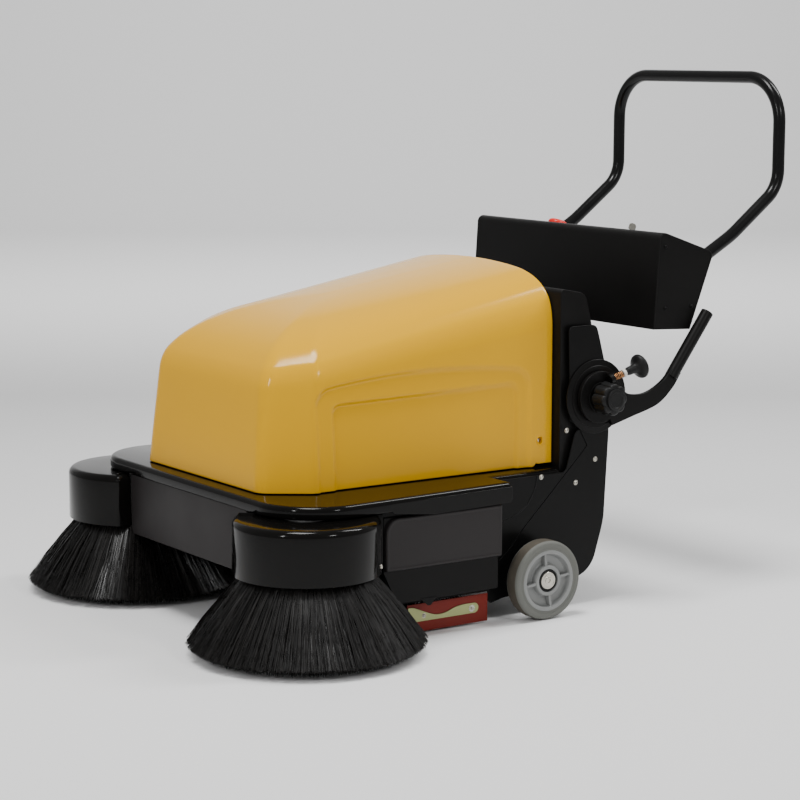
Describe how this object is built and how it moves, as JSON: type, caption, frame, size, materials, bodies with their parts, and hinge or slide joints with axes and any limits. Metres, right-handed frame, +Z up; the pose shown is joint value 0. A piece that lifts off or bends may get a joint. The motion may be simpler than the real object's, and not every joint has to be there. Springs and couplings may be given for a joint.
{
  "type": "walk behind sweeper",
  "caption": "Walk behind floor sweeper with a lifting hood, tilting push handle, belt driven main brush, side brushes, pull-out dustbin and trailing front castor.",
  "frame": {"origin": "on the floor, under the middle of the footprint", "axes": "+Y from the front towards the operator, +X to the machine's left side as it faces -Y, +Z up"},
  "size_m": [1.06, 1.3929, 1.0144],
  "materials": {
    "yellow_plastic": "glossy moulded yellow",
    "gloss_black": "high gloss moulded black",
    "satin_black": "satin moulded black",
    "steel_black": "black powder coated sheet",
    "panel_grey": "dark grey textured",
    "knob_black": "fine textured black",
    "tube_black": "semi-gloss black coated tube",
    "bristle_black": "black nylon bristle",
    "tyre_grey": "grey non-marking tread",
    "rim_grey": "light grey moulded",
    "zinc_steel": "zinc plated",
    "strip_zinc": "yellow-green passivated",
    "flap_red": "dark red-brown sheet rubber",
    "belt_rubber": "matt black",
    "battery_case": "dark grey blue case",
    "motor_grey": "dark grey coated",
    "filter_paper": "pleated cellulose",
    "stop_red": "red moulded"
  },
  "bodies": {
    "chassis": {"deck": "gloss_black", "chassis_frame": "steel_black", "front_panel": "panel_grey", "brush_cover_left": "gloss_black", "brush_cover_right": "gloss_black", "side_skirt_left": "satin_black", "side_skirt_right": "satin_black", "side_panel_left": "steel_black", "side_panel_right": "steel_black", "cheek_plate_left": "steel_black", "cheek_plate_right": "steel_black", "rear_housing": "satin_black", "hood_hinge_base": "zinc_steel", "axle_bolt_left": "zinc_steel", "axle_bolt_right": "zinc_steel", "castor_beam": "steel_black", "castor_plate": "zinc_steel", "side_brush_motor_left": "motor_grey", "side_brush_motor_right": "motor_grey", "brush_end_plate_left": "steel_black", "brush_end_plate_right": "steel_black", "brush_motor": "motor_grey", "drive_belt": "belt_rubber", "side_flap_left": "flap_red", "side_flap_right": "flap_red", "flap_strip_left": "strip_zinc", "flap_strip_right": "strip_zinc", "battery_left": "battery_case", "battery_right": "battery_case", "fan_motor": "motor_grey", "filter_panel": "filter_paper", "index_plate_left": "satin_black", "index_plate_right": "satin_black"},
    "hood": {"hood": "yellow_plastic", "hood_hinge_leaf": "zinc_steel"},
    "wheel_left": {"tyre_left": "tyre_grey", "wheel_rim_left": "rim_grey"},
    "wheel_right": {"tyre_right": "tyre_grey", "wheel_rim_right": "rim_grey"},
    "castor_swivel": {"castor_fork": "zinc_steel"},
    "castor_roller": {"castor_wheel": "tyre_grey"},
    "side_brush_left": {"side_brush_disc_left": "satin_black", "side_brush_bristles_left": "bristle_black"},
    "side_brush_right": {"side_brush_disc_right": "satin_black", "side_brush_bristles_right": "bristle_black"},
    "main_brush": {"main_brush_core": "satin_black", "main_brush_bristles": "bristle_black", "brush_pulley": "motor_grey"},
    "drive_pulley": {"motor_pulley": "motor_grey"},
    "bin": {"dustbin": "satin_black"},
    "handle": {"arm_left": "satin_black", "arm_right": "satin_black", "plunger_barrel": "satin_black", "handle_tube": "tube_black", "console": "satin_black"},
    "plunger": {"plunger_knob": "knob_black"},
    "clamp_knob_left": {"star_knob_left": "knob_black"},
    "clamp_knob_right": {"star_knob_right": "knob_black"},
    "key": {"key_switch": "zinc_steel"},
    "stop": {"stop_button": "stop_red"}
  },
  "joints": [
    {"name": "hood_lift", "type": "hinge", "parent": "chassis", "child": "hood", "pos_m": [0, -0.502, 0.305], "axis": [1, 0, 0], "range_deg": [0, 65]},
    {"name": "handle_tilt", "type": "hinge", "parent": "chassis", "child": "handle", "pos_m": [0, 0.178, 0.402], "axis": [1, 0, 0], "range_deg": [-15, 25]},
    {"name": "plunger_pull", "type": "slide", "parent": "handle", "child": "plunger", "axis": [0, 0.9659, 0.2588], "range_m": [0, 0.008], "stiffness_N_per_m": 900, "springref_m": -0.004},
    {"name": "wheel_spin_left", "type": "hinge", "parent": "chassis", "child": "wheel_left", "pos_m": [0.334, 0.016, 0.075], "axis": [1, 0, 0], "continuous": true},
    {"name": "wheel_spin_right", "type": "hinge", "parent": "chassis", "child": "wheel_right", "pos_m": [-0.334, 0.016, 0.075], "axis": [1, 0, 0], "continuous": true},
    {"name": "castor_turn", "type": "hinge", "parent": "chassis", "child": "castor_swivel", "pos_m": [0, -0.42, 0.14], "axis": [0, 0, 1], "continuous": true},
    {"name": "castor_spin", "type": "hinge", "parent": "castor_swivel", "child": "castor_roller", "pos_m": [0, -0.39, 0.05], "axis": [1, 0, 0], "continuous": true},
    {"name": "side_brush_spin_left", "type": "hinge", "parent": "chassis", "child": "side_brush_left", "pos_m": [0.319, -0.4855, 0.136], "axis": [0, 0, 1], "continuous": true},
    {"name": "side_brush_spin_right", "type": "hinge", "parent": "chassis", "child": "side_brush_right", "pos_m": [-0.319, -0.4855, 0.136], "axis": [0, 0, 1], "continuous": true},
    {"name": "main_brush_spin", "type": "hinge", "parent": "chassis", "child": "main_brush", "pos_m": [0, -0.2, 0.1175], "axis": [1, 0, 0], "continuous": true},
    {"name": "drive_pulley_spin", "type": "hinge", "parent": "chassis", "child": "drive_pulley", "pos_m": [0.3285, -0.335, 0.205], "axis": [1, 0, 0], "continuous": true},
    {"name": "bin_pull", "type": "slide", "parent": "chassis", "child": "bin", "axis": [0, 1, 0], "range_m": [0, 0.25]},
    {"name": "clamp_knob_turn_left", "type": "hinge", "parent": "chassis", "child": "clamp_knob_left", "pos_m": [0.331, 0.178, 0.402], "axis": [1, 0, 0], "continuous": true},
    {"name": "clamp_knob_turn_right", "type": "hinge", "parent": "chassis", "child": "clamp_knob_right", "pos_m": [-0.331, 0.178, 0.402], "axis": [1, 0, 0], "continuous": true},
    {"name": "key_turn", "type": "hinge", "parent": "handle", "child": "key", "pos_m": [0.12, 0.40783, 0.68685], "axis": [0, 0.3264, 0.9452], "range_deg": [-90, 0]},
    {"name": "stop_press", "type": "slide", "parent": "handle", "child": "stop", "axis": [0, 0.3264, 0.9452], "range_m": [-0.005, 0], "stiffness_N_per_m": 600}
  ],
  "couplings": [
    {"joint": "drive_pulley_spin", "follows": "main_brush_spin", "ratio": 2.25}
  ]
}
